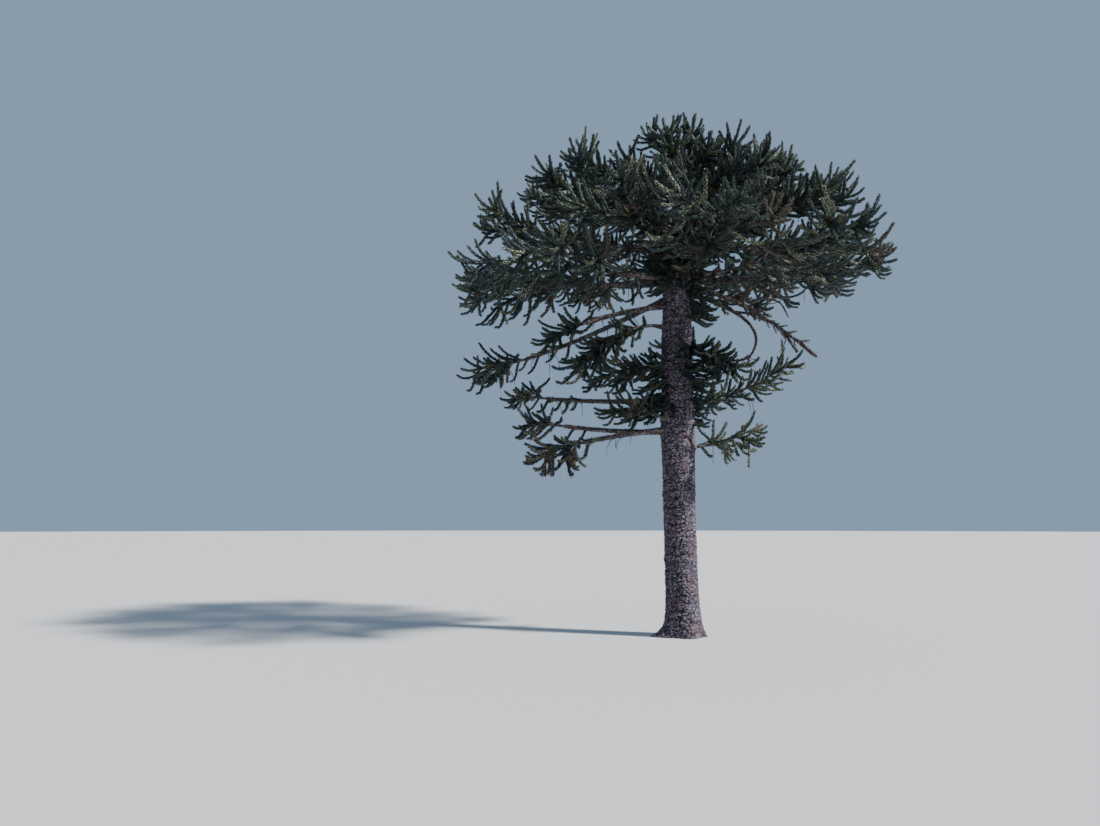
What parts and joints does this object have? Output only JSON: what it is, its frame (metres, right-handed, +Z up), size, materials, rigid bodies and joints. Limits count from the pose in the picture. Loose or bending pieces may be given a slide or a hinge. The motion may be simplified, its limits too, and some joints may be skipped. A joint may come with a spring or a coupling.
{
  "type": "monkey puzzle tree",
  "caption": "Tall evergreen conifer with a straight bare trunk, a broad umbrella crown of boughs ending in mops of rope-like leafy shoots, and old drooping boughs below.",
  "frame": {"origin": "middle of the flat cut under the trunk, at ground level", "axes": "+Z up the trunk, +X to the right-hand side of the pictured view, +Y away from the viewer"},
  "size_m": [12.5894, 11.9131, 14.6585],
  "materials": {
    "bark": "thick grey-brown bark in many-sided plates with darker cracks between them",
    "limb_bark": "dark grey-brown bark, rough with old leaf bases",
    "leaf": "dark green, stiff overlapping leaves with a soft sheen",
    "dead_wood": "dry grey-brown dead shoots and cones"
  },
  "bodies": {
    "root": {"bough_left_inner": "limb_bark", "bough_left_long": "limb_bark", "bough_left_lower": "limb_bark", "bough_left_lowest": "limb_bark", "bough_left_middle": "limb_bark", "bough_middle_1": "limb_bark", "bough_middle_2": "limb_bark", "bough_middle_3": "limb_bark", "bough_middle_4": "limb_bark", "bough_middle_5": "limb_bark", "bough_middle_6": "limb_bark", "bough_rim_1": "limb_bark", "bough_rim_2": "limb_bark", "bough_rim_3": "limb_bark", "bough_rim_4": "limb_bark", "bough_rim_5": "limb_bark", "bough_rim_6": "limb_bark", "bough_rim_7": "limb_bark", "bough_rim_8": "limb_bark", "dead_limb_hooked": "dead_wood", "dead_limb_long": "dead_wood", "foliage_left_inner": "leaf", "foliage_left_long": "leaf", "foliage_left_lower": "leaf", "foliage_left_lowest": "leaf", "foliage_left_middle": "leaf", "foliage_left_mop": "leaf", "foliage_left_near": "leaf", "foliage_left_tuft": "leaf", "foliage_middle_1": "leaf", "foliage_middle_2": "leaf", "foliage_middle_3": "leaf", "foliage_middle_4": "leaf", "foliage_middle_5": "leaf", "foliage_middle_6": "leaf", "foliage_right_lowest": "leaf", "foliage_right_near": "leaf", "foliage_right_rising": "leaf", "foliage_right_under": "leaf", "foliage_rim_1": "leaf", "foliage_rim_2": "leaf", "foliage_rim_3": "leaf", "foliage_rim_4": "leaf", "foliage_rim_5": "leaf", "foliage_rim_6": "leaf", "foliage_rim_7": "leaf", "foliage_rim_8": "leaf", "foliage_shoulder_1": "leaf", "foliage_shoulder_2": "leaf", "foliage_shoulder_3": "leaf", "foliage_shoulder_4": "leaf", "foliage_shoulder_5": "leaf", "foliage_shoulder_6": "leaf", "foliage_top_1": "leaf", "foliage_top_2": "leaf", "foliage_upper_1": "leaf", "foliage_upper_2": "leaf", "foliage_upper_3": "leaf", "foliage_upper_4": "leaf", "trunk": "bark"}
  },
  "joints": []
}
